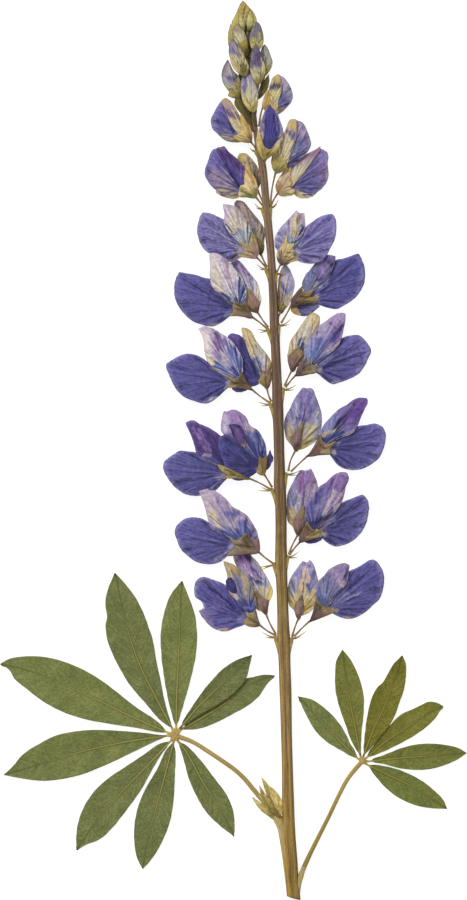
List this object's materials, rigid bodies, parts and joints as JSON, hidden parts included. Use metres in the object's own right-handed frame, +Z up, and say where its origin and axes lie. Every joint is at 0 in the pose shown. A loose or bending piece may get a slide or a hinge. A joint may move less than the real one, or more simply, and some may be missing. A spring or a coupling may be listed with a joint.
{
  "type": "lupin flower spike",
  "caption": "Pressed, dried lupin stem lying flat: a tapering spike of violet pea flowers and buds, with two palmate leaves.",
  "frame": {"origin": "middle of the pressed plant's outline, on the surface it lies on", "axes": "+Y from the cut end of the stem to the tip of the spike, +X towards the smaller leaf, +Z up off the surface"},
  "size_m": [0.098, 0.1885, 0.0039],
  "materials": {
    "stem": "dry, fibrous, finely ribbed",
    "petiole": "dry, fibrous",
    "leaf": "matt dried leaf with a pale midrib",
    "petal_wings": "papery violet petal with dark veins",
    "petal_banner": "papery petal, cream and mauve with violet",
    "calyx": "dry, downy",
    "pedicel": "dry, fibrous",
    "bud": "dry, downy bud"
  },
  "bodies": {
    "root": {"stem": "stem", "left_petiole": "petiole", "right_petiole": "petiole", "axil_shoot": "bud", "left_leaflet_1": "leaf", "left_leaflet_2": "leaf", "left_leaflet_3": "leaf", "left_leaflet_4": "leaf", "left_leaflet_5": "leaf", "left_leaflet_6": "leaf", "left_leaflet_7": "leaf", "left_leaflet_8": "leaf", "left_leaflet_9": "leaf", "right_leaflet_1": "leaf", "right_leaflet_2": "leaf", "right_leaflet_3": "leaf", "right_leaflet_4": "leaf", "right_leaflet_5": "leaf", "right_leaflet_6": "leaf", "flower_centre_8": "petal_wings", "flower_left_1a": "petal_wings", "flower_left_1b": "petal_wings", "flower_left_2": "petal_wings", "flower_left_3a": "petal_wings", "flower_left_3b": "petal_wings", "flower_left_4a": "petal_wings", "flower_left_4b": "petal_wings", "flower_left_5a": "petal_wings", "flower_left_5b": "petal_wings", "flower_left_6a": "petal_wings", "flower_left_6b": "petal_wings", "flower_left_7a": "petal_wings", "flower_left_7b": "petal_wings", "flower_left_8": "petal_wings", "flower_right_1a": "petal_wings", "flower_right_1b": "petal_wings", "flower_right_2a": "petal_wings", "flower_right_2b": "petal_wings", "flower_right_3a": "petal_wings", "flower_right_3b": "petal_wings", "flower_right_4a": "petal_wings", "flower_right_4b": "petal_wings", "flower_right_5a": "petal_wings", "flower_right_5b": "petal_wings", "flower_right_6": "petal_wings", "flower_right_7": "petal_wings", "flower_right_8": "petal_wings", "flower_right_9": "petal_wings", "bud_1": "bud", "bud_2": "bud", "bud_3": "bud", "bud_4": "bud", "bud_5": "bud", "bud_6": "bud", "bud_7": "bud", "tip_buds": "bud"}
  },
  "joints": []
}
